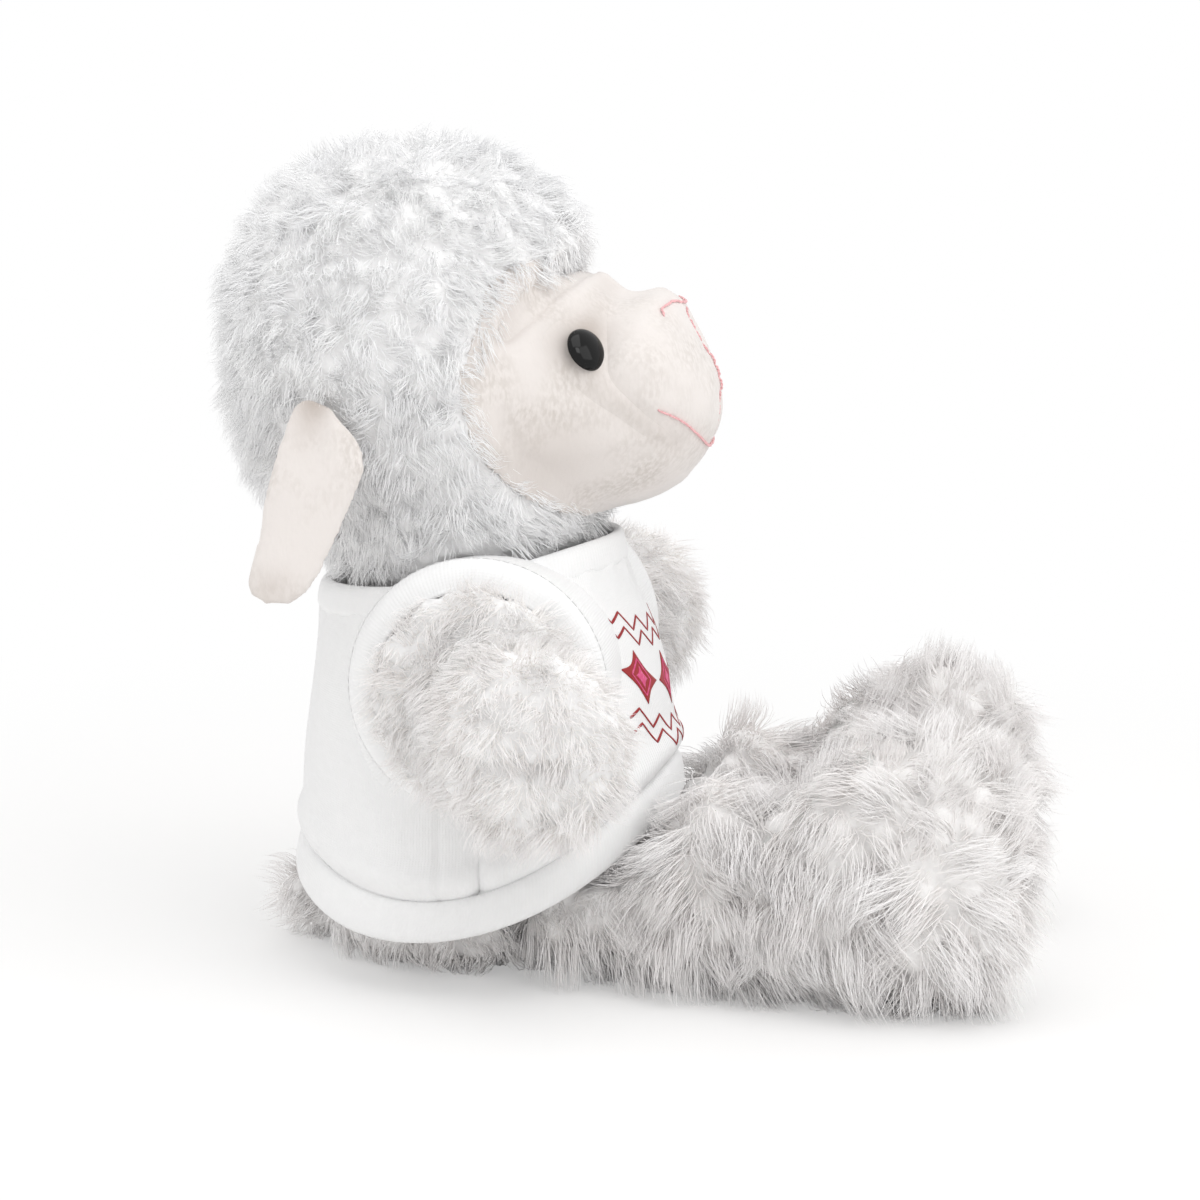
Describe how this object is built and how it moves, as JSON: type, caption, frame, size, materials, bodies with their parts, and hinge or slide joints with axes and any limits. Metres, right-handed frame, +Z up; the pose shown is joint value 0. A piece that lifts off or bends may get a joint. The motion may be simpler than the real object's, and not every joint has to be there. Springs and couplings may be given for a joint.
{
  "type": "plush sheep",
  "caption": "Sitting plush sheep with curly wool head, short-pile face, floppy ears, shaggy stuffed legs and arms, and a white short-sleeved tee.",
  "frame": {"origin": "on the surface it sits on, under the middle of its length and width", "axes": "+Z up, -Y the way the sheep looks, +X its left side"},
  "size_m": [0.1728, 0.199, 0.2],
  "materials": {
    "curly_wool": "short curled sherpa pile, off-white, matt",
    "arm_fur": "soft fluffy pile, off-white, matt",
    "shaggy_fur": "long shaggy pile in locks, off-white, matt",
    "cream_velboa": "short cream velboa with a fine nap",
    "cotton_jersey": "bright white cotton jersey",
    "rib_band": "folded white jersey band",
    "fibre_filling": "loose polyester fibre",
    "pellet_cloth": "thin woven bag of plastic pellets",
    "eye_plastic": "polished black moulded plastic",
    "washer_plastic": "plain natural plastic",
    "pink_thread": "pale pink embroidery thread"
  },
  "bodies": {
    "torso": {"body_cover": "shaggy_fur", "body_filling": "fibre_filling", "pellet_bag": "pellet_cloth", "tee_front": "cotton_jersey", "tee_back": "cotton_jersey", "tee_neckband": "rib_band", "tee_hem_band": "rib_band", "tee_sleeve_left": "cotton_jersey", "tee_sleeve_right": "cotton_jersey"},
    "neck": {"neck_filling": "fibre_filling"},
    "head": {"head_wool_cover": "curly_wool", "face_cover": "cream_velboa", "head_filling": "fibre_filling", "eye_left": "eye_plastic", "eye_right": "eye_plastic", "eye_washer_left": "washer_plastic", "eye_washer_right": "washer_plastic", "nose_stitching": "pink_thread", "lip_stitching": "pink_thread", "mouth_stitching": "pink_thread"},
    "ear_left": {"ear_left_outer": "cream_velboa", "ear_left_inner": "cream_velboa"},
    "ear_right": {"ear_right_outer": "cream_velboa", "ear_right_inner": "cream_velboa"},
    "arm_left": {"arm_cover_left": "arm_fur", "arm_filling_left": "fibre_filling"},
    "arm_right": {"arm_cover_right": "arm_fur", "arm_filling_right": "fibre_filling"},
    "leg_left": {"leg_cover_left": "shaggy_fur", "leg_filling_left": "fibre_filling"},
    "leg_right": {"leg_cover_right": "shaggy_fur", "leg_filling_right": "fibre_filling"},
    "tail": {"tail": "shaggy_fur"}
  },
  "joints": [
    {"name": "head_turn", "type": "hinge", "parent": "torso", "child": "neck", "pos_m": [0, 0.04351, 0.11737], "axis": [0, 0, 1], "range_deg": [-22, 22], "stiffness_Nm_per_rad": 0.5},
    {"name": "head_nod", "type": "hinge", "parent": "neck", "child": "head", "pos_m": [0, 0.04351, 0.11737], "axis": [1, 0, 0], "range_deg": [-12, 8], "stiffness_Nm_per_rad": 0.6},
    {"name": "ear_left_flop", "type": "hinge", "parent": "head", "child": "ear_left", "pos_m": [0.0477, 0.06403, 0.13843], "axis": [0, -1, 0], "range_deg": [0, 60], "stiffness_Nm_per_rad": 0.03},
    {"name": "ear_right_flop", "type": "hinge", "parent": "head", "child": "ear_right", "pos_m": [-0.0477, 0.06403, 0.13843], "axis": [0, 1, 0], "range_deg": [0, 60], "stiffness_Nm_per_rad": 0.03},
    {"name": "arm_left_swing", "type": "hinge", "parent": "torso", "child": "arm_left", "pos_m": [0, 0.0301, 0.07348], "axis": [-1, 0, 0], "range_deg": [-64, 10], "stiffness_Nm_per_rad": 0.2},
    {"name": "arm_right_swing", "type": "hinge", "parent": "torso", "child": "arm_right", "pos_m": [0, 0.0301, 0.07348], "axis": [-1, 0, 0], "range_deg": [-29, 45], "stiffness_Nm_per_rad": 0.2},
    {"name": "leg_left_swing", "type": "hinge", "parent": "torso", "child": "leg_left", "pos_m": [0, 0.01149, 0.017], "axis": [-1, 0, 0], "range_deg": [-50, 8], "stiffness_Nm_per_rad": 0.5},
    {"name": "leg_right_swing", "type": "hinge", "parent": "torso", "child": "leg_right", "pos_m": [0, 0.01149, 0.017], "axis": [-1, 0, 0], "range_deg": [-50, 8], "stiffness_Nm_per_rad": 0.5},
    {"name": "tail_wag", "type": "hinge", "parent": "torso", "child": "tail", "pos_m": [0, 0.0775, 0.01155], "axis": [0, 0, 1], "range_deg": [-18, 18], "stiffness_Nm_per_rad": 0.03}
  ]
}
